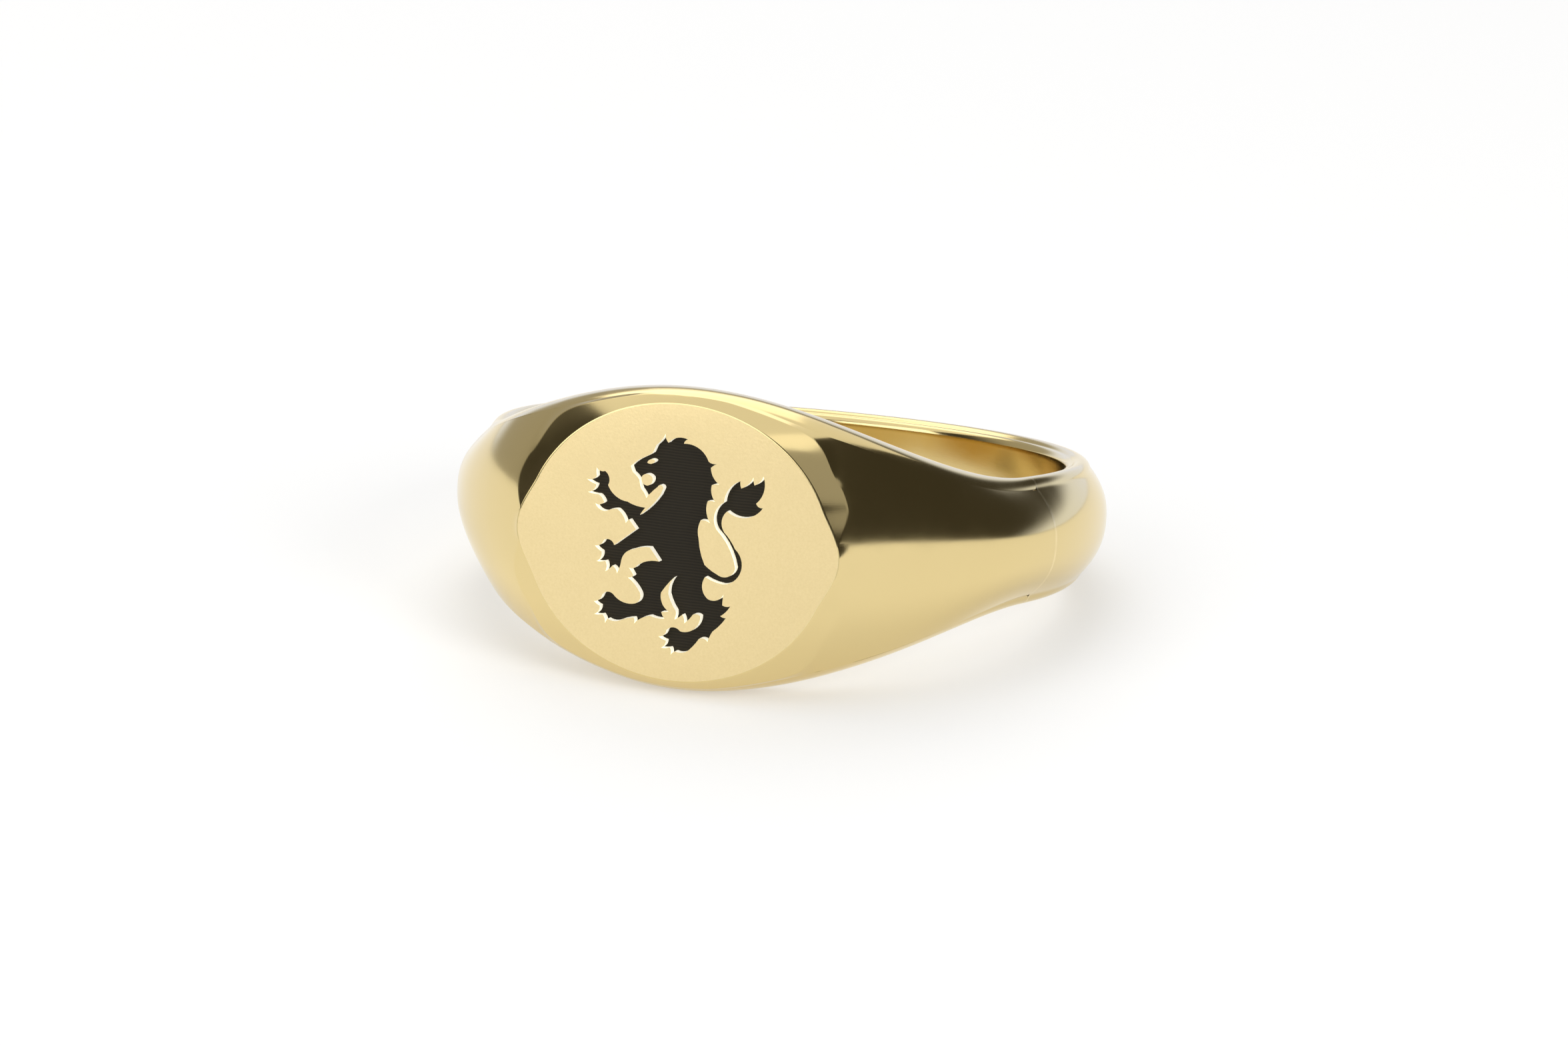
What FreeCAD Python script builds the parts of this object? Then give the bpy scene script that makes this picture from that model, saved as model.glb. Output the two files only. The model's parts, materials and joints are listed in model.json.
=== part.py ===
"""Gold signet ring with a black enamel lion, as a parametric FreeCAD document.

Each shape is drawn in the ring's own frame: the finger axis is Z, the flat face looks
towards -Y and the middle of the band is the plane Z = 0.  Angles go round the finger
axis from the middle of the face, positive towards +X.  The finished pieces then share
one placement, which lays the ring on its side: the rounded lower side of the head and that
of the back of the band both touch the plane Z = 0.
"""
import FreeCAD, Part
import math
import os
from FreeCAD import Placement, Rotation, Vector

DRIVING_SIZES = {
    "bore_radius": 9.0,
    "face_distance": 10.8,
    "face_half_width": 4.92,
    "face_half_height": 4.27,
    "face_corner_reach": 0.28,
    "face_bevel_depth": 1.2,
    "face_bevel_side_run": 3.2,
    "face_bevel_top_run": 1.0,
    "head_half_width": 4.67,
    "band_half_width": 2.03,
    "back_half_width": 1.57,
    "head_span_angle": 69.0,
    "head_corner_drop": 0.17,
    "shoulder_corner_drop": 0.36,
    "band_corner_drop": 0.28,
    "bore_corner_drop": 0.12,
    "head_edge_radius": 10.5,
    "corner_edge_radius": 10.85,
    "band_edge_radius": 9.85,
    "crown_corner_radius": 11.95,
    "crown_side_radius": 10.5,
    "crown_back_radius": 10.25,
    "corner_angle": 25.5,
    "bore_edge_chamfer": 0.25,
    "solder_angle": 69.5,
    "solder_half_angle": 0.3,
    "recess_depth": 0.5,
    "enamel_below_face": 0.27,
}

# The crown's cross-section is a power curve: the larger the power, the flatter the dome.
HEAD_DOME_POWER = 8.0
CORNER_DOME_POWER = 2.6
SHOULDER_DOME_POWER = 2.4
BAND_DOME_POWER = 2.3

CASTING_SECTIONS = 29
SHANK_SECTIONS = 15
SEAM_SECTIONS = 2
CROWN_POINTS = 17
FACE_POINTS = 24

# Outline of the lion on the face, in millimetres from the middle of the face (X to the
# right, Z up), clockwise.  The third number bends the run to the next point into an arc:
# its height as a share of the run's length, outwards when positive.
LION_HEAD_AND_MANE = [
    (-0.52, 3.30, -0.10), (-0.42, 3.04, 0.16), (0.20, 3.20, -0.15), (0.08, 3.06, 0.17),
    (0.90, 2.60, -0.12), (1.18, 2.56, -0.06), (0.98, 2.42, -0.12), (1.28, 1.94, -0.06),
    (1.04, 1.90, -0.12), (1.18, 1.40, -0.06), (0.94, 1.40, -0.12), (1.06, 0.74, -0.08),
]
LION_BACK = [(0.76, 0.80, -0.10), (0.72, 0.24, -0.05)]
LION_TAIL = [
    (0.96, -0.55, -0.04), (1.38, -0.80, -0.28), (1.94, -0.54, -0.08), (1.28, 0.56, 0.22),
    (1.46, 1.42, 0.15), (1.94, 2.12, -0.06), (1.98, 1.90, -0.10), (2.35, 2.28, -0.06),
    (2.39, 2.04, -0.12), (2.66, 2.34, 0.16), (2.48, 1.50, -0.20), (2.70, 1.38, 0.22),
    (1.58, 1.16, -0.24), (1.62, 0.42, 0.03), (1.90, 0.04, 0.34), (1.58, -1.08, 0.05),
]
LION_STANDING_LEG = [
    (1.00, -0.92, -0.20), (1.12, -1.58, -0.22), (1.62, -1.38, -0.02), (1.60, -1.72, -0.12),
    (1.86, -1.72, 0.06), (1.56, -2.06, -0.10), (1.74, -2.10, 0.04), (1.34, -2.56, -0.04),
    (1.20, -2.90, -0.20), (0.92, -2.84, 0.03), (0.62, -3.22, 0.14), (0.18, -3.32, -0.10),
    (0.02, -3.48, -0.16), (0.00, -3.22, 0.06), (-0.28, -3.26, -0.16), (-0.14, -3.02, 0.06),
    (-0.38, -2.92, -0.20), (-0.14, -2.70, 0.24), (0.30, -2.68, -0.14), (0.80, -2.50, -0.10),
    (0.92, -2.14, -0.16), (0.68, -2.12, 0.04), (0.42, -2.42, -0.10), (0.34, -2.16, 0.04),
    (0.10, -2.34, -0.08), (0.12, -2.06, 0.05), (-0.14, -1.58, 0.10),
]
LION_RAISED_LEG = [
    (0.02, -1.04, -0.03), (-0.38, -1.56, -0.16), (-0.10, -2.12, 0.02), (-0.34, -2.16, -0.06),
    (-0.22, -2.36, 0.06), (-0.70, -2.32, -0.08), (-1.20, -2.62, -0.14), (-1.22, -2.44, -0.05),
    (-1.66, -2.58, 0.12), (-2.06, -2.58, -0.06), (-2.16, -2.80, -0.16), (-2.24, -2.46, 0.06),
    (-2.50, -2.48, -0.18), (-2.34, -2.20, 0.06), (-2.54, -2.08, -0.18), (-2.28, -1.86, 0.26),
    (-1.90, -1.82, -0.14), (-1.20, -2.00, -0.24), (-1.08, -1.62, -0.06), (-1.48, -1.22, -0.16),
    (-1.30, -1.14, -0.02), (-1.46, -0.92, -0.18), (-1.20, -0.82, 0.10),
]
LION_LOWER_FORELEG = [
    (-0.50, -0.62, 0.0), (-0.82, -0.22, -0.06), (-1.36, -0.34, -0.16), (-1.72, -0.72, 0.05),
    (-1.84, -1.14, -0.14), (-2.00, -0.92, 0.05), (-2.22, -1.12, -0.14), (-2.24, -0.80, 0.06),
    (-2.52, -0.84, -0.18), (-2.38, -0.52, 0.06), (-2.60, -0.36, -0.18), (-2.32, -0.16, 0.26),
    (-1.98, -0.28, 0.0),
]
LION_UPPER_FORELEG = [
    (-1.30, 0.28, 0.0), (-1.54, 0.56, -0.04), (-1.64, 0.44, -0.10), (-1.94, 0.84, -0.08),
    (-2.28, 0.74, 0.18), (-2.66, 0.94, -0.18), (-2.38, 1.00, -0.10), (-2.56, 1.22, 0.04),
    (-2.92, 1.26, -0.18), (-2.66, 1.52, 0.05), (-2.98, 1.66, -0.18), (-2.66, 1.78, 0.04),
    (-2.68, 2.04, -0.18), (-2.40, 1.96, 0.20), (-2.28, 1.54, -0.14), (-1.62, 1.10, -0.06),
    (-1.04, 0.98, -0.03),
]
LION_THROAT_AND_FACE = [
    (-1.20, 0.74, -0.05), (-0.58, 1.42, 0.0), (-0.50, 1.62, -0.45), (-0.68, 1.66, -0.02),
    (-0.90, 1.44, -0.05), (-1.02, 1.28, -0.05), (-1.20, 1.54, 0.04), (-1.28, 1.82, -0.04),
    (-1.50, 2.02, 0.02), (-1.58, 2.20, 0.05), (-1.16, 2.52, -0.02), (-0.90, 2.68, 0.0),
    (-0.80, 2.92, -0.06),
]
LION_EYE = [(-1.06, 2.36, 0.28), (-0.80, 2.44, 0.22)]
LION_MOUTH = [(-1.18, 1.96, 0.22), (-0.86, 1.92, 0.22), (-1.02, 1.66, 0.30)]


def make_sheet(doc):
    """Put the driving dimensions into a spreadsheet and return it."""
    sheet = doc.addObject("Spreadsheet::Sheet", "Sizes")
    for row, (name, value) in enumerate(DRIVING_SIZES.items(), start=1):
        sheet.set(f"A{row}", name)
        sheet.set(f"B{row}", str(value))
        sheet.setAlias(f"B{row}", name)
    doc.recompute()
    return sheet


def smooth_step(start, end, value):
    """Rise smoothly from 0 at start to 1 at end."""
    share = min(max((value - start) / (end - start), 0.0), 1.0)
    return share * share * (3 - 2 * share)


def from_face(angle):
    """How far an angle is from the middle of the face, the short way round."""
    return abs((angle + 180) % 360 - 180)


def half_width(sheet, angle):
    """Half the ring's width along the finger: a wide head that sweeps into the band."""
    turn = from_face(angle)
    band = sheet.band_half_width
    band += (sheet.back_half_width - sheet.band_half_width) * smooth_step(60, 180, turn)
    share = min(turn / sheet.head_span_angle, 1.0)
    swell = 0.5 * (1 + math.cos(math.pi * share))
    return band + (sheet.head_half_width - band) * swell


def corner_height(sheet, angle):
    """Height of the outer corner, a little below the top of the ring's rounded side."""
    turn = from_face(angle)
    drop = sheet.head_corner_drop
    drop += (sheet.shoulder_corner_drop - sheet.head_corner_drop) * smooth_step(6, 24, turn)
    drop += (sheet.band_corner_drop - sheet.shoulder_corner_drop) * smooth_step(50, 90, turn)
    return half_width(sheet, angle) - drop


def edge_radius(sheet, angle):
    """Radius of the outer corner of the ring's two sides."""
    turn = from_face(angle)
    radius = sheet.head_edge_radius
    radius += (sheet.corner_edge_radius - sheet.head_edge_radius) * smooth_step(8, 25, turn)
    radius += (sheet.band_edge_radius - sheet.corner_edge_radius) * smooth_step(30, 74, turn)
    return radius


def crown_radius(sheet, angle):
    """Radius of the crown, the line along the middle of the outside."""
    turn = from_face(angle)
    side_angle = 95.0
    if turn >= side_angle:
        fall = smooth_step(side_angle, 180, turn)
        return sheet.crown_side_radius + (sheet.crown_back_radius - sheet.crown_side_radius) * fall
    share = max((turn - sheet.corner_angle) / (side_angle - sheet.corner_angle), 0.0)
    sweep = (1 - share) ** 2 * (1 + 0.5 * share)
    return sheet.crown_side_radius + (sheet.crown_corner_radius - sheet.crown_side_radius) * sweep


def dome_power(angle):
    """Power of the crown's cross-section at this angle."""
    turn = from_face(angle)
    power = HEAD_DOME_POWER
    power += (CORNER_DOME_POWER - HEAD_DOME_POWER) * smooth_step(17, 25, turn)
    power += (SHOULDER_DOME_POWER - CORNER_DOME_POWER) * smooth_step(28, 44, turn)
    power += (BAND_DOME_POWER - SHOULDER_DOME_POWER) * smooth_step(60, 110, turn)
    return power


def side_arc(sheet, angle, at, sign):
    """Rounded side of the band at this angle, from its outer corner to the bore's edge."""
    edge = edge_radius(sheet, angle)
    bore_edge = sheet.bore_radius + sheet.bore_edge_chamfer
    wide = half_width(sheet, angle)
    crest_share = 0.48
    corner = at(edge, sign * corner_height(sheet, angle))
    crest = at(bore_edge + crest_share * (edge - bore_edge), sign * wide)
    inner = at(bore_edge, sign * (wide - sheet.bore_corner_drop))
    return Part.Arc(corner, crest, inner).toShape()


def section_wire(sheet, angle):
    """Closed cross-section of the band in the half-plane at this angle."""
    tall = corner_height(sheet, angle)
    edge = edge_radius(sheet, angle)
    rise = crown_radius(sheet, angle) - edge
    power = dome_power(angle)
    chamfer = sheet.bore_edge_chamfer
    under_bore = 0.4
    turn = math.radians(angle)
    outward = Vector(math.sin(turn), -math.cos(turn), 0)

    def at(radius, height):
        return outward * radius + Vector(0, 0, height)

    crown = []
    for index in range(CROWN_POINTS):
        share = -math.cos(math.pi * index / (CROWN_POINTS - 1))
        crown.append(at(edge + rise * (1 - abs(share) ** power), share * tall))
    crown_curve = Part.BSplineCurve()
    crown_curve.interpolate(crown)
    bore_edge = half_width(sheet, angle) - sheet.bore_corner_drop
    inner_radius = sheet.bore_radius - under_bore
    inner_height = bore_edge - chamfer - under_bore
    corners = [
        at(sheet.bore_radius + chamfer, bore_edge),
        at(inner_radius, inner_height),
        at(inner_radius, -inner_height),
        at(sheet.bore_radius + chamfer, -bore_edge),
    ]
    edges = [crown_curve.toShape(), side_arc(sheet, angle, at, 1)]
    for start, end in zip(corners, corners[1:]):
        edges.append(Part.LineSegment(start, end).toShape())
    edges.append(side_arc(sheet, angle, at, -1))
    return Part.Wire(edges)


def band_stretch(doc, sheet, name, start, end, count):
    """Loft of the band between two angles, as a document object."""
    sections = []
    for index in range(count):
        angle = start + (end - start) * index / (count - 1)
        section = doc.addObject("Part::Feature", f"{name}_section_{index}")
        section.Shape = section_wire(sheet, angle)
        sections.append(section)
    loft = doc.addObject("Part::Loft", f"{name}_stretch")
    loft.Sections = sections
    loft.Solid = True
    loft.Ruled = count == 2
    return loft


def finger_cylinder(doc, name):
    """The cylinder that the finger takes, as a cutting tool."""
    tool = doc.addObject("Part::Cylinder", f"{name}_bore_tool")
    tool.setExpression("Radius", "Sizes.bore_radius")
    tool.setExpression("Height", "Sizes.head_half_width * 4")
    tool.setExpression("Placement.Base.z", "-Sizes.head_half_width * 2")
    return tool


def bored_stretch(doc, sheet, name, start, end, count):
    """A stretch of the band with the finger hole cut out of it."""
    cut = doc.addObject("Part::Cut", f"{name}_bored")
    cut.Base = band_stretch(doc, sheet, name, start, end, count)
    cut.Tool = finger_cylinder(doc, name)
    return cut


def face_outline(sheet, side_run, top_run, depth):
    """Outline of the face at a depth below it: an ellipse with a small point at each side."""
    across = sheet.face_half_width + side_run
    along = sheet.face_half_height + top_run
    point_share = 0.93
    edges = []
    for first in (0.0, math.pi):
        points = []
        for index in range(FACE_POINTS + 1):
            turn = first + math.pi * index / FACE_POINTS
            sideways = math.cos(turn)
            sharp = max((abs(sideways) - point_share) / (1 - point_share), 0.0) ** 2
            reach = across + sheet.face_corner_reach * sharp
            points.append(Vector(reach * sideways, depth - sheet.face_distance, along * math.sin(turn)))
        curve = Part.BSplineCurve()
        curve.interpolate(points)
        edges.append(curve.toShape())
    return Part.Wire(edges)


def face_form(doc, sheet):
    """The solid that trims the head: its flat face, its bevel and everything behind them."""
    outlines = []
    runs = [(0.0, 0.0, 0.0), (sheet.face_bevel_side_run, sheet.face_bevel_top_run, sheet.face_bevel_depth)]
    for index, (side_run, top_run, depth) in enumerate(runs):
        outline = doc.addObject("Part::Feature", f"face_outline_{index}")
        outline.Shape = face_outline(sheet, side_run, top_run, depth)
        outlines.append(outline)
    bevel = doc.addObject("Part::Loft", "face_bevel")
    bevel.Sections = outlines
    bevel.Solid = True
    bevel.Ruled = True
    block = doc.addObject("Part::Box", "behind_bevel")
    block.setExpression("Length", "Sizes.bore_radius * 4")
    block.setExpression("Width", "Sizes.face_distance * 2")
    block.setExpression("Height", "Sizes.head_half_width * 4")
    block.setExpression("Placement.Base.x", "-Sizes.bore_radius * 2")
    block.setExpression("Placement.Base.y", "Sizes.face_bevel_depth - Sizes.face_distance")
    block.setExpression("Placement.Base.z", "-Sizes.head_half_width * 2")
    form = doc.addObject("Part::Fuse", "face_form")
    form.Base = bevel
    form.Tool = block
    return form


def arc_outline(points, depth):
    """Closed wire through the points, each run straight or bent into an arc."""
    edges = []
    for index, (across, up, bend) in enumerate(points):
        next_across, next_up, _ = points[(index + 1) % len(points)]
        start = Vector(across, depth, up)
        end = Vector(next_across, depth, next_up)
        if abs(bend) < 0.001:
            edges.append(Part.LineSegment(start, end).toShape())
            continue
        run = end - start
        outward = Vector(-run.z, 0, run.x)
        middle = (start + end) * 0.5 + outward * bend
        edges.append(Part.Arc(start, middle, end).toShape())
    return Part.Wire(edges)


def lion_prism(doc, sheet, name, near, far):
    """The lion's outline, with its eye and mouth left standing, between two depths."""
    outline = (
        LION_HEAD_AND_MANE + LION_BACK + LION_TAIL + LION_STANDING_LEG + LION_RAISED_LEG
        + LION_LOWER_FORELEG + LION_UPPER_FORELEG + LION_THROAT_AND_FACE
    )
    plane = near - sheet.face_distance
    wires = [arc_outline(points, plane) for points in (outline, LION_EYE, LION_MOUTH)]
    flat = doc.addObject("Part::Feature", f"{name}_outline")
    flat.Shape = Part.makeFace(wires, "Part::FaceMakerBullseye")
    prism = doc.addObject("Part::Extrusion", name)
    prism.Base = flat
    prism.DirMode = "Custom"
    prism.Dir = Vector(0, 1, 0)
    prism.LengthFwd = far - near
    prism.Solid = True
    return prism


def make_head_casting(doc, sheet):
    """Head and shoulders, cast in one, with the recess for the enamel cut into the face."""
    angle = sheet.solder_angle - sheet.solder_half_angle
    blank = bored_stretch(doc, sheet, "head", -angle, angle, CASTING_SECTIONS)
    trimmed = doc.addObject("Part::Common", "head_trimmed")
    trimmed.Base = blank
    trimmed.Tool = face_form(doc, sheet)
    casting = doc.addObject("Part::Cut", "head_casting")
    casting.Base = trimmed
    casting.Tool = lion_prism(doc, sheet, "lion_recess", -1.0, sheet.recess_depth)
    return casting


def make_shank(doc, sheet):
    """The back of the band, soldered in between the shoulders."""
    start = sheet.solder_angle + sheet.solder_half_angle
    shank = bored_stretch(doc, sheet, "shank", start, 360 - start, SHANK_SECTIONS)
    shank.Label = "shank_band"
    return shank


def make_solder_joint(doc, sheet, label, middle):
    """A film of gold solder between a shoulder and the shank."""
    start = middle - sheet.solder_half_angle
    end = middle + sheet.solder_half_angle
    joint = bored_stretch(doc, sheet, label, start, end, SEAM_SECTIONS)
    joint.Label = label
    return joint


def make_enamel(doc, sheet):
    """The enamel that fills the recess to just below the face."""
    return lion_prism(doc, sheet, "lion_enamel", sheet.enamel_below_face, sheet.recess_depth)


def side_profile(sheet, angle, across):
    """Points (Y, Z) of the lower side at the middle of the head or of the back."""

    def at(radius, height):
        return Vector(0, across * radius, height)

    arc = side_arc(sheet, angle, at, -1)
    return [(point.y, point.z) for point in arc.discretize(Number=400)]


def lying_placement(sheet):
    """Tilt and placement of the ring at rest on its side, centred over the origin."""
    head = side_profile(sheet, 0, -1)
    tail = side_profile(sheet, 180, 1)
    slope = 0.0
    for _ in range(20):
        head_touch = min(head, key=lambda point: point[1] - slope * point[0])
        tail_touch = min(tail, key=lambda point: point[1] - slope * point[0])
        slope = (tail_touch[1] - head_touch[1]) / (tail_touch[0] - head_touch[0])
    tilt = math.atan(slope)
    lift = head_touch[0] * math.sin(tilt) - head_touch[1] * math.cos(tilt)
    front = sheet.face_distance * math.cos(tilt) + sheet.face_half_height * math.sin(tilt)
    edge = edge_radius(sheet, 180)
    rise = sheet.crown_back_radius - edge
    back = 0.0
    for index in range(CROWN_POINTS * 10):
        share = index / (CROWN_POINTS * 10)
        radius = edge + rise * (1 - share ** BAND_DOME_POWER)
        height = share * corner_height(sheet, 180)
        back = max(back, radius * math.cos(tilt) + height * math.sin(tilt))
    turn = Rotation(Vector(1, 0, 0), -math.degrees(tilt))
    return tilt, Placement(Vector(0, (front - back) / 2, lift), turn)


def check_document(doc, pieces):
    """Stop if any object failed or any piece has no valid solid."""
    for item in doc.Objects:
        if "Invalid" in item.State or "Error" in item.State:
            raise RuntimeError(f"{item.Label} failed: {item.State}")
    for piece in pieces:
        shape = piece.Shape
        if shape.isNull() or not shape.isValid() or not shape.Solids:
            raise RuntimeError(f"{piece.Label} has no valid solid")


def main():
    doc = FreeCAD.newDocument("signet_ring")
    sheet = make_sheet(doc)
    pieces = [
        make_head_casting(doc, sheet),
        make_shank(doc, sheet),
        make_solder_joint(doc, sheet, "solder_joint_right", sheet.solder_angle),
        make_solder_joint(doc, sheet, "solder_joint_left", -sheet.solder_angle),
        make_enamel(doc, sheet),
    ]
    tilt, lying = lying_placement(sheet)
    for piece in pieces:
        piece.Placement = lying
    doc.recompute()
    check_document(doc, pieces)
    os.makedirs("parts", exist_ok=True)
    for piece in pieces:
        piece.Shape.exportStep(f"parts/{piece.Label}.step")
        box = piece.Shape.BoundBox
        print(piece.Label, round(piece.Shape.Volume, 3), len(piece.Shape.Solids), box)
    print("tilt", round(math.degrees(tilt), 3), "bore middle", lying.Base)


main()
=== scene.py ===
"""Looks of the gold signet ring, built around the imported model.

The gold is drawn again as fine meshes from the same formulas as the design, in the
ring's own frame (millimetres, finger axis Z, face towards -Y), then laid down with the
finger hole's place and axis from the record.
"""
import json
import math

import bmesh
import bpy
from mathutils import Matrix, Vector
from mathutils.geometry import delaunay_2d_cdt


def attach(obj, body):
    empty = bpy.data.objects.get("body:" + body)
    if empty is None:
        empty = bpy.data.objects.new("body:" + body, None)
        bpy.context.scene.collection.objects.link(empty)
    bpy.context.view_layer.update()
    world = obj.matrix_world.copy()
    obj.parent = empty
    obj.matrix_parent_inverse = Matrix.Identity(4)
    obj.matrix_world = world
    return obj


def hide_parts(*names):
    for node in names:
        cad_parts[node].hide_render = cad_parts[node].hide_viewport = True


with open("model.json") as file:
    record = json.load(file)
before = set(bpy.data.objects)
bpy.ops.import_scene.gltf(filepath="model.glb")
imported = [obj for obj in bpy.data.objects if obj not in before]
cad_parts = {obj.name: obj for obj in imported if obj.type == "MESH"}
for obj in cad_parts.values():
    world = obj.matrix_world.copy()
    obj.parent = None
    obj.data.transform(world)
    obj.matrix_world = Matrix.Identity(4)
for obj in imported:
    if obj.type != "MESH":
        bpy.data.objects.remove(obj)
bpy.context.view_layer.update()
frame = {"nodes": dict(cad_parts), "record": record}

MM = 0.001
# The polished gold is a few micrometres smaller than the castings.
POLISHED_SCALE = 0.9996

# Driving sizes of the ring, in millimetres and degrees.
BORE_RADIUS = 9.0
FACE_DISTANCE = 10.8
FACE_HALF_WIDTH = 4.92
FACE_HALF_HEIGHT = 4.27
FACE_CORNER_REACH = 0.28
CORNER_SHARE = 0.93
BEVEL_DEPTH = 1.2
BEVEL_SIDE_RUN = 3.2
BEVEL_TOP_RUN = 1.0
HEAD_HALF_WIDTH = 4.67
BAND_HALF_WIDTH = 2.03
BACK_HALF_WIDTH = 1.57
HEAD_SPAN = 69.0
HEAD_CORNER_DROP = 0.17
SHOULDER_CORNER_DROP = 0.36
BAND_CORNER_DROP = 0.28
BORE_CORNER_DROP = 0.12
CREST_SHARE = 0.48
HEAD_EDGE_RADIUS = 10.5
CORNER_EDGE_RADIUS = 10.85
BAND_EDGE_RADIUS = 9.85
CROWN_CORNER_RADIUS = 11.95
CROWN_SIDE_RADIUS = 10.5
CROWN_BACK_RADIUS = 10.25
CORNER_ANGLE = 25.5
CROWN_SIDE_ANGLE = 95.0
BORE_EDGE_ROUND = 0.25
RECESS_DEPTH = 0.5
SOLDER_ANGLE = 69.5
SOLDER_HALF_ANGLE = 0.3
HEAD_DOME = 8.0
CORNER_DOME = 2.6
SHOULDER_DOME = 2.4
BAND_DOME = 2.3

# Polished edges are a little rounded.
FACE_EDGE_ROUND = 0.035
BEVEL_EDGE_ROUND = 0.05
SIDE_EDGE_ROUND = 0.09

# How finely the gold is divided.
ROUND_POINTS = 5
ROOF_POINTS = 52
SIDE_POINTS = 14
BORE_ROUND_POINTS = 8
BORE_POINTS = 12
END_COUNT = 36
SHOULDER_COUNT = 170
TOP_COUNT = 64
# Share of the turn from the side of the face to its top corner that meets the seam.
END_TURN_SHARE = 0.4
# Quarters of the head: mirrored in X, mirrored in Z, and whether they run backwards.
QUARTERS = ((1, 1, False), (-1, 1, True), (-1, -1, False), (1, -1, True))


def ring_placement():
    """Matrix from the ring's own frame to the row frame, in metres."""
    bore = next(m for m in frame["record"]["mounts"] if m["name"] == "finger_bore")
    axis = Vector(bore["axis"])
    tilt = math.atan2(axis.y, axis.z)
    return Matrix.Translation(Vector(bore["pos_m"])) @ Matrix.Rotation(-tilt, 4, "X")


TO_ROW = ring_placement()


# ---------------------------------------------------------------- shape of the gold

def smooth_step(start, end, value):
    share = min(max((value - start) / (end - start), 0.0), 1.0)
    return share * share * (3 - 2 * share)


def from_face(angle):
    return abs((angle + 180) % 360 - 180)


def half_width(angle):
    """Half the ring's width along the finger, at the top of its rounded sides."""
    turn = from_face(angle)
    band = BAND_HALF_WIDTH + (BACK_HALF_WIDTH - BAND_HALF_WIDTH) * smooth_step(60, 180, turn)
    swell = 0.5 * (1 + math.cos(math.pi * min(turn / HEAD_SPAN, 1.0)))
    return band + (HEAD_HALF_WIDTH - band) * swell


def corner_height(angle):
    """Height of the outer corner, a little below the top of the rounded side."""
    turn = from_face(angle)
    drop = HEAD_CORNER_DROP
    drop += (SHOULDER_CORNER_DROP - HEAD_CORNER_DROP) * smooth_step(6, 24, turn)
    drop += (BAND_CORNER_DROP - SHOULDER_CORNER_DROP) * smooth_step(50, 90, turn)
    return half_width(angle) - drop


def edge_radius(angle):
    """Radius of the outer corner of the sides."""
    turn = from_face(angle)
    radius = HEAD_EDGE_RADIUS
    radius += (CORNER_EDGE_RADIUS - HEAD_EDGE_RADIUS) * smooth_step(8, 25, turn)
    radius += (BAND_EDGE_RADIUS - CORNER_EDGE_RADIUS) * smooth_step(30, 74, turn)
    return radius


def crown_radius(angle):
    """Radius of the line along the middle of the outside."""
    turn = from_face(angle)
    if turn >= CROWN_SIDE_ANGLE:
        fall = smooth_step(CROWN_SIDE_ANGLE, 180, turn)
        return CROWN_SIDE_RADIUS + (CROWN_BACK_RADIUS - CROWN_SIDE_RADIUS) * fall
    share = max((turn - CORNER_ANGLE) / (CROWN_SIDE_ANGLE - CORNER_ANGLE), 0.0)
    sweep = (1 - share) ** 2 * (1 + 0.5 * share)
    return CROWN_SIDE_RADIUS + (CROWN_CORNER_RADIUS - CROWN_SIDE_RADIUS) * sweep


def dome_power(angle):
    """Power of the outside's cross-section: the larger, the flatter."""
    turn = from_face(angle)
    power = HEAD_DOME
    power += (CORNER_DOME - HEAD_DOME) * smooth_step(17, 25, turn)
    power += (SHOULDER_DOME - CORNER_DOME) * smooth_step(28, 44, turn)
    power += (BAND_DOME - SHOULDER_DOME) * smooth_step(60, 110, turn)
    return power


def outer_radius(angle, share):
    """Radius of the domed outside, at a share of the half width."""
    edge = edge_radius(angle)
    return edge + (crown_radius(angle) - edge) * (1 - abs(share) ** dome_power(angle))


def at(angle, radius, height):
    """Point in the ring's own frame."""
    turn = math.radians(angle)
    return Vector((radius * math.sin(turn), -radius * math.cos(turn), height))


def outside(angle, share):
    return at(angle, outer_radius(angle, share), share * corner_height(angle))


def bevel_point(turn, depth):
    """Point of the bevel round the face, a depth behind the face."""
    sideways = math.cos(turn)
    sharp = max((abs(sideways) - CORNER_SHARE) / (1 - CORNER_SHARE), 0.0) ** 2
    share = depth / BEVEL_DEPTH
    across = FACE_HALF_WIDTH + BEVEL_SIDE_RUN * share + FACE_CORNER_REACH * sharp
    along = FACE_HALF_HEIGHT + BEVEL_TOP_RUN * share
    return Vector((across * sideways, depth - FACE_DISTANCE, along * math.sin(turn)))


def angle_of(point):
    return math.degrees(math.atan2(point.x, -point.y))


def bevel_end(turn):
    """Depth at which the bevel meets the dome or the side, and whether it is the side."""
    near, far = 0.0, BEVEL_DEPTH
    for _ in range(40):
        depth = (near + far) / 2
        point = bevel_point(turn, depth)
        angle = angle_of(point)
        share = point.z / corner_height(angle)
        radius = math.hypot(point.x, point.y)
        if share > 1 or radius > outer_radius(angle, min(share, 1.0)):
            far = depth
        else:
            near = depth
    point = bevel_point(turn, near)
    return near, point.z / corner_height(angle_of(point)) > 1 - 1e-4


def side_exit_turn():
    """Direction from the face's middle beyond which the bevel runs into the side."""
    low, high = 0.0, math.pi / 2
    for _ in range(40):
        middle = (low + high) / 2
        if bevel_end(middle)[1]:
            high = middle
        else:
            low = middle
    return high


def rounded(before, corner, after, count):
    """Points of a small round between two points, in place of the corner between them."""
    points = []
    for index in range(count):
        share = index / (count - 1)
        points.append(before.lerp(corner, share).lerp(corner.lerp(after, share), share))
    return points


def towards(start, end, distance):
    """Point at a distance from start towards end, at most 45% of the way."""
    length = (end - start).length
    if length < 1e-9:
        return start.copy()
    return start.lerp(end, min(distance / length, 0.45))


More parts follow.
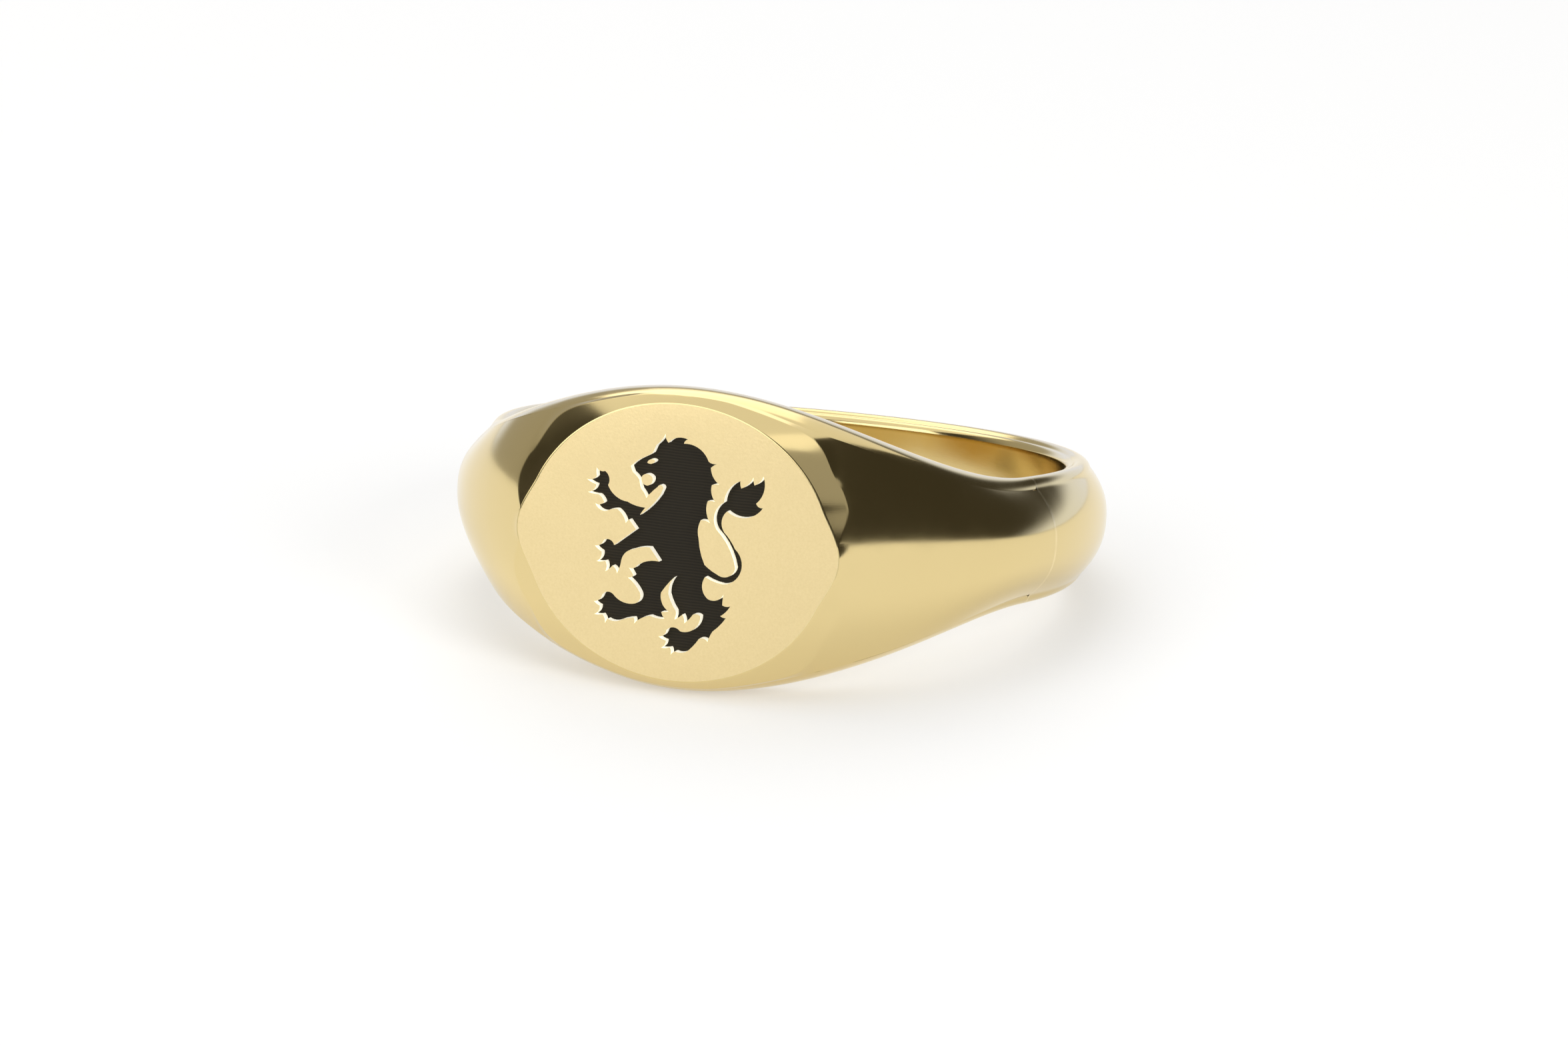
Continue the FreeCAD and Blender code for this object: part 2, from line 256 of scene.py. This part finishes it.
def roof_line(turn, edge_angle, edge_share):
    """Points from the bevel's outer edge over the dome to the outer edge of the side."""
    depth, at_side = bevel_end(turn)
    crease = bevel_point(turn, depth)
    if at_side:
        edge = crease
        crease = edge.lerp(bevel_point(turn, 0.0), 0.3 * smooth_step(SIDE_EXIT, math.pi / 2, turn))
        return [crease.lerp(edge, index / (ROOF_POINTS - 1)) for index in range(ROOF_POINTS)]
    crease_angle = angle_of(crease)
    crease_share = crease.z / corner_height(crease_angle)
    line = [crease]
    for index in range(1, ROOF_POINTS):
        step = index / (ROOF_POINTS - 1)
        angle = crease_angle + (edge_angle - crease_angle) * step
        share = crease_share + (edge_share - crease_share) * step
        line.append(outside(angle, share))
    return line


def meridian(turn, edge_angle, edge_share, on_side):
    """Points from the rim of the face out over the bevel and the dome to the outer edge."""
    rim = bevel_point(turn, 0.0)
    roof = roof_line(turn, edge_angle, edge_share)
    crease, edge = roof[0], roof[-1]
    points = rounded(towards(rim, Vector((0, rim.y, 0)), FACE_EDGE_ROUND), rim,
                     towards(rim, crease, FACE_EDGE_ROUND), ROUND_POINTS)
    points += rounded(towards(crease, rim, BEVEL_EDGE_ROUND), crease,
                      along(roof, BEVEL_EDGE_ROUND), ROUND_POINTS)
    points += inner_part(roof, BEVEL_EDGE_ROUND, SIDE_EDGE_ROUND if on_side else 0.0, ROOF_POINTS)
    if on_side:
        points += rounded(along(roof[::-1], SIDE_EDGE_ROUND), edge,
                          along(side_line(edge), SIDE_EDGE_ROUND), ROUND_POINTS)
    return points


def along(line, distance):
    """Point at a distance from the start of a line of points, at most 45% of its length."""
    lengths = [(b - a).length for a, b in zip(line, line[1:])]
    left = min(distance, 0.45 * sum(lengths))
    for start, end, length in zip(line, line[1:], lengths):
        if length > 0 and left <= length:
            return start.lerp(end, left / length)
        left -= length
    return line[0].copy()


def inner_part(line, cut_start, cut_end, count):
    """The line resampled evenly between its shortened ends, without the first point."""
    lengths = [(b - a).length for a, b in zip(line, line[1:])]
    total = sum(lengths)
    first = min(cut_start, 0.45 * total)
    last = total - min(cut_end, 0.45 * total)
    points = []
    steps = count + (1 if cut_end else 0)
    for index in range(1, count + 1):
        wanted = first + (last - first) * index / steps
        run = 0.0
        for start, end, length in zip(line, line[1:], lengths):
            if run + length >= wanted - 1e-12:
                points.append(start.lerp(end, (wanted - run) / length if length > 0 else 0.0))
                break
            run += length
        else:
            points.append(line[-1].copy())
    return points


SIDE_EXIT = side_exit_turn()


def quadrant_stations(end_angle):
    """(turn, edge angle, edge share, on side) for the meridians of one quarter of the head."""
    exit_angle = angle_of(bevel_point(SIDE_EXIT, bevel_end(SIDE_EXIT)[0]))
    end_turn = SIDE_EXIT * END_TURN_SHARE
    stations = []
    for index in range(END_COUNT):
        share = index / END_COUNT
        stations.append((end_turn * share, end_angle, share, False))
    for index in range(SHOULDER_COUNT):
        share = index / SHOULDER_COUNT
        turn = end_turn + (SIDE_EXIT - end_turn) * share
        stations.append((turn, end_angle + (exit_angle - end_angle) * share, 1.0, True))
    for index in range(TOP_COUNT + 1):
        turn = SIDE_EXIT + (math.pi / 2 - SIDE_EXIT) * index / TOP_COUNT
        stations.append((turn, 0.0, 1.0, True))
    return stations


def circle_through(first, second, third):
    """Centre and radius of the circle through three (radius, height) points."""
    ax, ay = second.x - first.x, second.y - first.y
    bx, by = third.x - first.x, third.y - first.y
    double_area = 2 * (ax * by - ay * bx)
    a_square, b_square = ax * ax + ay * ay, bx * bx + by * by
    centre = Vector((by * a_square - ay * b_square, ax * b_square - bx * a_square)) / double_area
    return first + centre, centre.length


def side_arc(angle):
    """Points (radius, height) of the rounded side, from the outer corner to the bore's edge."""
    edge = edge_radius(angle)
    bore_edge = BORE_RADIUS + BORE_EDGE_ROUND
    corner = Vector((edge, corner_height(angle)))
    crest = Vector((bore_edge + CREST_SHARE * (edge - bore_edge), half_width(angle)))
    inner = Vector((bore_edge, half_width(angle) - BORE_CORNER_DROP))
    centre, radius = circle_through(corner, crest, inner)
    start = math.atan2(corner.y - centre.y, corner.x - centre.x)
    end = math.atan2(inner.y - centre.y, inner.x - centre.x)
    points = []
    for index in range(SIDE_POINTS + 1):
        turn = start + (end - start) * index / SIDE_POINTS
        points.append(centre + Vector((math.cos(turn), math.sin(turn))) * radius)
    return points


def side_line(edge_point):
    """Points of the rounded side at an outer edge point, from the corner inwards."""
    angle = angle_of(edge_point)
    sign = 1 if edge_point.z > 0 else -1
    return [at(angle, p.x, sign * p.y) for p in side_arc(angle)]


def side_and_bore(edge_point):
    """Points from the outer edge over the rounded side and the bore's edge to mid-bore."""
    angle = angle_of(edge_point)
    sign = 1 if edge_point.z > 0 else -1
    line = side_line(edge_point)
    cut = (edge_point - line[0]).length
    points = inner_part(line, cut, 0.0, SIDE_POINTS)
    height = abs(line[-1].z)
    for index in range(1, BORE_ROUND_POINTS + 1):
        turn = math.pi / 2 * index / BORE_ROUND_POINTS
        fall = BORE_EDGE_ROUND * (1 - math.sin(turn))
        drop = BORE_EDGE_ROUND * (1 - math.cos(turn))
        points.append(at(angle, BORE_RADIUS + fall, sign * (height - drop)))
    bore_height = height - BORE_EDGE_ROUND
    for index in range(1, BORE_POINTS + 1):
        share = index / BORE_POINTS
        points.append(at(angle, BORE_RADIUS, sign * bore_height * (1 - share)))
    return points


# ---------------------------------------------------------------- mesh helpers

def new_object(name, mesh):
    piece = bpy.data.objects.new(name, mesh)
    bpy.context.scene.collection.objects.link(piece)
    return piece


def add_strip(builder, first, second, material=0):
    """Quads between two rows of vertices."""
    for index in range(len(first) - 1):
        corners = (first[index], first[index + 1], second[index + 1], second[index])
        face = builder.faces.new(corners)
        face.material_index = material


def finish_mesh(builder, name):
    """Weld, close and lay down a mesh built in the ring's own frame."""
    bmesh.ops.remove_doubles(builder, verts=builder.verts, dist=1e-5)
    open_edges = [edge for edge in builder.edges if edge.is_boundary]
    bmesh.ops.holes_fill(builder, edges=open_edges, sides=0)
    bmesh.ops.recalc_face_normals(builder, faces=builder.faces)
    mesh = bpy.data.meshes.new(name)
    builder.to_mesh(mesh)
    builder.free()
    mesh.transform(TO_ROW @ Matrix.Scale(MM * POLISHED_SCALE, 4))
    return new_object(name, mesh)


def shade(piece, angle_limit):
    """Smooth shading with sharp edges past an angle, and a flat face."""
    for polygon in piece.data.polygons:
        polygon.use_smooth = polygon.material_index != SATIN
    piece.data.set_sharp_from_angle(angle=math.radians(angle_limit))


# ---------------------------------------------------------------- pieces

# Material indices of the casting; the last is the recess walls and floor, which carry a painted highlight
# and a painted glow.
POLISHED, SATIN, RECESS_GLOW = 0, 1, 2
# Blender's number for a triangulation of what the given lines surround.
INSIDE_LINES = 1


def whole_head(quarter):
    """The meridians of one quarter of the head, mirrored all the way round the face."""
    lines = []
    for mirror_x, mirror_z, backwards in QUARTERS:
        part = quarter[::-1] if backwards else quarter
        for points, on_side in part[:-1]:
            flipped = [Vector((p.x * mirror_x, p.y, p.z * mirror_z)) for p in points]
            lines.append((flipped, on_side))
    return lines


def build_head():
    """The casting: face, bevel, shoulders, sides and its part of the bore."""
    stations = quadrant_stations(SOLDER_ANGLE - SOLDER_HALF_ANGLE)
    quarter = [(meridian(*station), station[3]) for station in stations]
    builder = bmesh.new()
    rows = []
    side_rows = []
    for points, on_side in whole_head(quarter):
        rows.append([builder.verts.new(p) for p in points])
        side_row = None
        if on_side:
            side_row = rows[-1][-1:] + [builder.verts.new(p) for p in side_and_bore(points[-1])]
        side_rows.append(side_row)
    short = min(len(row) for row in rows)
    neighbours = zip(rows, rows[1:] + rows[:1], side_rows, side_rows[1:] + side_rows[:1])
    for row, following, side, next_side in neighbours:
        add_strip(builder, row[:short], following[:short])
        if len(row) > short and len(following) > short:
            add_strip(builder, row[short - 1:], following[short - 1:])
        if side and next_side:
            add_strip(builder, side, next_side)
    add_face(builder, [row[0] for row in rows])
    return finish_mesh(builder, "cast_head")


def lion_loops():
    """Outlines of the enamel, each a list of (x, z) in the ring's own frame."""
    flat = bmesh.new()
    flat.from_mesh(frame["nodes"]["lion_enamel"].data)
    bmesh.ops.transform(flat, matrix=Matrix.Scale(1 / MM, 4) @ TO_ROW.inverted(), verts=flat.verts)
    bmesh.ops.remove_doubles(flat, verts=flat.verts, dist=1e-4)
    top = min(vertex.co.y for vertex in flat.verts)
    below = [face for face in flat.faces if any(v.co.y > top + 0.01 for v in face.verts)]
    bmesh.ops.delete(flat, geom=below, context="FACES")
    onward = {}
    for edge in flat.edges:
        if edge.is_boundary:
            for first, second in (edge.verts, reversed(edge.verts)):
                onward.setdefault(first, []).append(second)
    loops = []
    while onward:
        vertex = next(iter(onward))
        loop = []
        while vertex in onward:
            loop.append((vertex.co.x, vertex.co.z))
            following = onward.pop(vertex)
            vertex = next((v for v in following if v in onward), None)
        loops.append(loop)
    flat.free()
    return loops


def crossings(x, z, loop):
    """How many sides of a loop of vertices a line from a point to the right crosses."""
    count = 0
    for first, second in zip(loop, loop[1:] + loop[:1]):
        if (first.co.z > z) != (second.co.z > z):
            share = (z - first.co.z) / (second.co.z - first.co.z)
            count += x < first.co.x + (second.co.x - first.co.x) * share
    return count


def fill_between(builder, loops, material):
    """Flat triangles over what an odd number of the loops of vertices surrounds."""
    vertices = [vertex for loop in loops for vertex in loop]
    edges = []
    for loop in loops:
        first = len(edges)
        edges += [(first + i, first + (i + 1) % len(loop)) for i in range(len(loop))]
    places = [Vector((vertex.co.x, vertex.co.z)) for vertex in vertices]
    result = delaunay_2d_cdt(places, edges, [], INSIDE_LINES, 1e-6)
    sources = result[3]
    for triangle in result[2]:
        corners = [vertices[sources[corner][0]] for corner in triangle]
        x = sum(vertex.co.x for vertex in corners) / 3
        z = sum(vertex.co.z for vertex in corners) / 3
        if sum(crossings(x, z, loop) for loop in loops) % 2:
            builder.faces.new(corners).material_index = material


def add_face(builder, rim):
    """The flat face with the recess for the enamel, its walls and its floor."""
    near, far = -FACE_DISTANCE, RECESS_DEPTH - FACE_DISTANCE
    tops = []
    floors = []
    for loop in lion_loops():
        top = [builder.verts.new((x, near, z)) for x, z in loop]
        floor = [builder.verts.new((x, far, z)) for x, z in loop]
        add_strip(builder, top + top[:1], floor + floor[:1], RECESS_GLOW)
        tops.append(top)
        floors.append(floor)
    fill_between(builder, [rim] + tops, SATIN)
    fill_between(builder, floors, RECESS_GLOW)


def section_points(angle):
    """Closed cross-section of the band, from the crown round one side to the bore and back."""
    roof = [outside(angle, index / (ROOF_POINTS - 1)) for index in range(ROOF_POINTS)]
    edge = roof[-1]
    half = [roof[0]] + inner_part(roof, 0.0, SIDE_EDGE_ROUND, ROOF_POINTS)
    half += rounded(along(roof[::-1], SIDE_EDGE_ROUND), edge,
                    along(side_line(edge), SIDE_EDGE_ROUND), ROUND_POINTS)
    half += side_and_bore(half[-1])
    other = [Vector((p.x, p.y, -p.z)) for p in half[-2:0:-1]]
    return half + other


def build_band(name, start, end, count):
    """A stretch of the band between two angles."""
    builder = bmesh.new()
    rows = []
    for index in range(count):
        angle = start + (end - start) * index / (count - 1)
        rows.append([builder.verts.new(p) for p in section_points(angle)])
    for first, second in zip(rows, rows[1:]):
        add_strip(builder, first + first[:1], second + second[:1])
    return finish_mesh(builder, name)


# ---------------------------------------------------------------- materials

class Nodes:
    """Short helper for making and joining a material's nodes."""

    def __init__(self, name):
        self.material = bpy.data.materials.new(name)
        self.material.use_nodes = True
        self.tree = self.material.node_tree
        self.shader = self.tree.nodes["Principled BSDF"]

    def add(self, kind, **inputs):
        node = self.tree.nodes.new(kind)
        for key, value in inputs.items():
            node.inputs[key.replace("_", " ")].default_value = value
        return node

    def join(self, source, output, target, key):
        self.tree.links.new(source.outputs[output], target.inputs[key])

    def set(self, **inputs):
        for key, value in inputs.items():
            self.shader.inputs[key.replace("_", " ")].default_value = value


def stretched_coordinates(nodes, scale):
    """Object coordinates, stretched by a factor on each axis."""
    place = nodes.add("ShaderNodeTexCoord")
    mapping = nodes.add("ShaderNodeMapping")
    mapping.inputs["Scale"].default_value = scale
    nodes.join(place, "Object", mapping, "Vector")
    return mapping


def noise(nodes, coordinates, scale, detail, roughness=0.5):
    texture = nodes.add("ShaderNodeTexNoise", Scale=scale, Detail=detail, Roughness=roughness)
    nodes.join(coordinates, "Vector", texture, "Vector")
    return texture


def spread(nodes, source, low, high):
    """Map a 0 to 1 value between two numbers."""
    span = nodes.add("ShaderNodeMapRange")
    span.inputs["To Min"].default_value = low
    span.inputs["To Max"].default_value = high
    nodes.join(source, "Fac", span, "Value")
    return span


def colour_between(nodes, source, first, second, output="Fac"):
    mix = nodes.add("ShaderNodeMix")
    mix.data_type = "RGBA"
    mix.inputs["A"].default_value = (*first, 1)
    mix.inputs["B"].default_value = (*second, 1)
    nodes.join(source, output, mix, "Factor")
    nodes.tree.links.new(mix.outputs["Result"], nodes.shader.inputs["Base Color"])
    return mix


def bump(nodes, source, strength, distance, output="Fac", onto=None):
    node = nodes.add("ShaderNodeBump", Strength=strength, Distance=distance)
    nodes.join(source, output, node, "Height")
    if onto:
        nodes.join(onto, "Normal", node, "Normal")
    return node


GOLD = (0.77, 0.62, 0.31)
GOLD_DEEP = (0.75, 0.595, 0.285)
GOLD_PALE = (0.86, 0.71, 0.40)
FACE_GOLD = (0.83, 0.66, 0.33)
FACE_GOLD_PALE = (0.95, 0.78, 0.44)
# Near-white colours of the recess walls: a painted highlight, the gold drawn pale so that the walls look
# brightly lit.
WALL_PAINTED_HIGHLIGHT_WHITE = (1.0, 0.96, 0.82)
WALL_PAINTED_HIGHLIGHT_CREAM = (0.98, 0.91, 0.70)


def polished_gold():
    """Bright polished gold with faint handling scratches and a soft polisher's wave."""
    nodes = Nodes("polished_gold")
    nodes.set(Metallic=1.0)
    plain = stretched_coordinates(nodes, (1, 1, 1))
    wave = noise(nodes, plain, 260, 1.0)
    scratches = noise(nodes, stretched_coordinates(nodes, (1, 1, 14)), 2600, 3.0, 0.6)
    dull = noise(nodes, plain, 900, 4.0, 0.6)
    rough = spread(nodes, dull, 0.09, 0.17)
    nodes.join(rough, "Result", nodes.shader, "Roughness")
    colour_between(nodes, wave, GOLD, GOLD_DEEP)
    soft = bump(nodes, wave, 0.10, 0.00005)
    fine = bump(nodes, scratches, 0.05, 0.000004, onto=soft)
    nodes.join(fine, "Normal", nodes.shader, "Normal")
    return nodes.material


def satin_gold():
    """The face: gold with a fine even grain."""
    nodes = Nodes("satin_gold")
    nodes.set(Metallic=1.0)
    plain = stretched_coordinates(nodes, (1, 1, 1))
    grain = noise(nodes, plain, 14000, 3.0, 0.7)
    cloud = noise(nodes, plain, 300, 3.0)
    rough = spread(nodes, cloud, 0.34, 0.42)
    nodes.join(rough, "Result", nodes.shader, "Roughness")
    colour_between(nodes, grain, FACE_GOLD, FACE_GOLD_PALE)
    fine = bump(nodes, grain, 0.5, 0.000009)
    nodes.join(fine, "Normal", nodes.shader, "Normal")
    return nodes.material


def recess_walls_painted_glow():
    """The walls of the recess: frosted, with a near-white painted highlight colour and a painted glow of
    their own.
    """
    nodes = Nodes("recess_walls_painted_glow")
    # Painted glow: the walls give off a little cream light themselves, so that they look lit.
    nodes.set(Metallic=0.0, Emission_Color=(1.0, 0.97, 0.86, 1), Emission_Strength=0.35)
    marks = noise(nodes, stretched_coordinates(nodes, (1, 1, 1)), 5000, 3.0, 0.6)
    rough = spread(nodes, marks, 0.45, 0.6)
    nodes.join(rough, "Result", nodes.shader, "Roughness")
    # Painted highlight: the walls' colour runs between two near-white tones.
    colour_between(nodes, marks, WALL_PAINTED_HIGHLIGHT_CREAM, WALL_PAINTED_HIGHLIGHT_WHITE)
    nodes.join(bump(nodes, marks, 0.3, 0.000006), "Normal", nodes.shader, "Normal")
    return nodes.material


def solder_gold():
    """Gold solder, slightly paler and duller than the gold."""
    nodes = Nodes("solder_gold")
    nodes.set(Metallic=1.0)
    plain = stretched_coordinates(nodes, (1, 1, 1))
    spots = noise(nodes, plain, 3000, 3.0)
    rough = spread(nodes, spots, 0.10, 0.22)
    nodes.join(rough, "Result", nodes.shader, "Roughness")
    colour_between(nodes, spots, GOLD, GOLD_PALE)
    nodes.join(bump(nodes, spots, 0.2, 0.00001), "Normal", nodes.shader, "Normal")
    return nodes.material


def black_enamel():
    """Stoned black enamel with fine wavy lines across it."""
    nodes = Nodes("black_enamel")
    nodes.set(Roughness=0.5, IOR=1.5)
    nodes.set(Specular_IOR_Level=0.15)
    plain = stretched_coordinates(nodes, (1, 1, 1))
    lines = nodes.add("ShaderNodeTexWave", Scale=3600, Distortion=1.6, Detail=1.0, Detail_Scale=0.4)
    lines.wave_type = "BANDS"
    lines.bands_direction = "Z"
    nodes.join(plain, "Vector", lines, "Vector")
    colour_between(nodes, lines, (0.014, 0.0115, 0.007), (0.025, 0.020, 0.012))
    nodes.join(bump(nodes, lines, 0.3, 0.000008), "Normal", nodes.shader, "Normal")
    return nodes.material


# ---------------------------------------------------------------- floor, light and camera

def build_floor():
    size = 1.2
    builder = bmesh.new()
    corners = [(-size, -size), (size, -size), (size, size), (-size, size)]
    builder.faces.new([builder.verts.new((x, y, 0)) for x, y in corners])
    mesh = bpy.data.meshes.new("floor")
    builder.to_mesh(mesh)
    builder.free()
    floor = new_object("floor", mesh)
    nodes = Nodes("floor_white")
    nodes.set(Roughness=0.9, Base_Color=(0.68, 0.68, 0.68, 1), Specular_IOR_Level=0.0)
    nodes.set(Emission_Color=(1, 1, 1, 1), Emission_Strength=0.38)
    mesh.materials.append(nodes.material)


def softbox(name, place, aim, width, length, brightness, reflected=True):
    """An area light at a place, facing another place, as bright all over as a surface."""
    light = bpy.data.lights.new(name, "AREA")
    light.shape = "RECTANGLE"
    light.size = width
    light.size_y = length
    light.energy = brightness * math.pi * width * length
    lamp = bpy.data.objects.new(name, light)
    lamp.location = place
    lamp.rotation_mode = "QUATERNION"
    lamp.rotation_quaternion = (Vector(place) - Vector(aim)).to_track_quat("Z", "Y")
    lamp.visible_camera = False
    lamp.visible_glossy = reflected
    bpy.context.scene.collection.objects.link(lamp)


def direction(azimuth, elevation, distance):
    """Place at a distance in a direction, where azimuth 0 is in front of the face."""
    turn, rise = math.radians(azimuth), math.radians(elevation)
    flat = math.cos(rise)
    return Vector((math.sin(turn) * flat, -math.cos(turn) * flat, math.sin(rise))) * distance


def build_lights():
    """A wide softbox overhead, a key light front left and smaller ones round the ring."""
    ring = (0, 0, 0.004)
    softbox("top_light", (-0.16, 0.30, 0.50), (-0.16, 0.30, 0), 0.78, 1.4, 0.9)
    softbox("key_light", direction(-28, 26, 0.45), ring, 0.38, 0.32, 1.85)
    softbox("front_right_light", direction(36, 40, 0.45), ring, 0.26, 0.34, 0.38)
    softbox("fill_light", direction(60, 25, 0.40), ring, 0.16, 0.16, 7.0, reflected=False)
    softbox("back_left_light", direction(-155, 50, 0.48), ring, 0.35, 0.30, 0.7)
    softbox("floor_light", (0, 0, 0.45), (0, 0, 0), 0.8, 0.8, 0.1, reflected=False)


def soft_edge(tree, direction, towards_vector, low, high):
    """Amount from 0 to 1 as the direction turns towards a vector."""
    dot = tree.nodes.new("ShaderNodeVectorMath")
    dot.operation = "DOT_PRODUCT"
    dot.inputs[1].default_value = towards_vector
    edge = tree.nodes.new("ShaderNodeMapRange")
    edge.interpolation_type = "SMOOTHSTEP"
    edge.inputs["From Min"].default_value = low
    edge.inputs["From Max"].default_value = high
    tree.links.new(direction.outputs["Generated"], dot.inputs[0])
    tree.links.new(dot.outputs["Value"], edge.inputs["Value"])
    return edge.outputs["Result"]


def room_colour(tree, amount, first, second):
    """Mix of two plain colours, or of a colour and another mix."""
    mix = tree.nodes.new("ShaderNodeMix")
    mix.data_type = "RGBA"
    mix.inputs["B"].default_value = (*second, 1)
    if isinstance(first, tuple):
        mix.inputs["A"].default_value = (*first, 1)
    else:
        tree.links.new(first, mix.inputs["A"])
    tree.links.new(amount, mix.inputs["Factor"])
    return mix.outputs["Result"]


def build_world():
    """A dim room, lighter at the back left, with a cool white backdrop behind the ring."""
    world = bpy.data.worlds.new("studio")
    world.use_nodes = True
    tree = world.node_tree
    direction = tree.nodes.new("ShaderNodeTexCoord")
    left = soft_edge(tree, direction, (-0.77, 0.64, 0), 0.42, 0.88)
    behind = soft_edge(tree, direction, (0, 0.75, -1), 0.28, 0.52)
    room = room_colour(tree, left, (0.050, 0.046, 0.036), (0.42, 0.41, 0.38))
    whole = room_colour(tree, behind, room, (0.90, 0.98, 1.25))
    tree.links.new(whole, tree.nodes["Background"].inputs["Color"])
    bpy.context.scene.world = world


def build_camera():
    """The photograph's viewpoint."""
    azimuth, elevation, roll = 18.56, 18.52, 0.66
    distance = 0.120
    lens, sensor = 83.5, 36.0
    looked_at = Vector((-0.03 * MM, 0.28 * MM, 2.20 * MM))
    away = direction(azimuth, elevation, 1)
    data = bpy.data.cameras.new("camera")
    data.lens = lens
    data.sensor_width = sensor
    data.clip_start = 0.005
    data.clip_end = 10
    camera = bpy.data.objects.new("camera", data)
    camera.location = looked_at + away * distance
    camera.rotation_mode = "QUATERNION"
    tip = Matrix.Rotation(math.radians(roll), 4, "Z").to_quaternion()
    camera.rotation_quaternion = away.to_track_quat("Z", "Y") @ tip
    bpy.context.scene.collection.objects.link(camera)
    bpy.context.scene.camera = camera


def main():
    build_camera()
    build_world()
    build_floor()
    build_lights()
    polish, satin = polished_gold(), satin_gold()
    head = build_head()
    # The third material is the recess walls' painted glow and painted highlight.
    for material in (polish, satin, recess_walls_painted_glow()):
        head.data.materials.append(material)
    shade(head, 32)
    gap = SOLDER_ANGLE + SOLDER_HALF_ANGLE
    shank = build_band("shank", gap, 360 - gap, 240)
    shank.data.materials.append(polish)
    shade(shank, 60)
    solder = solder_gold()
    seams = []
    for side, middle in (("right", SOLDER_ANGLE), ("left", -SOLDER_ANGLE)):
        seam = build_band(f"solder_seam_{side}", middle - SOLDER_HALF_ANGLE, middle + SOLDER_HALF_ANGLE, 3)
        seam.data.materials.append(solder)
        shade(seam, 60)
        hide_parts(f"solder_joint_{side}")
        seams.append(seam)
    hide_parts("head_casting")
    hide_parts("shank_band")
    for piece in (head, shank, *seams):
        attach(piece, "root")
    enamel = frame["nodes"]["lion_enamel"]
    enamel.data.materials.clear()
    enamel.data.materials.append(black_enamel())
    bpy.context.scene.view_settings.view_transform = "Standard"


main()
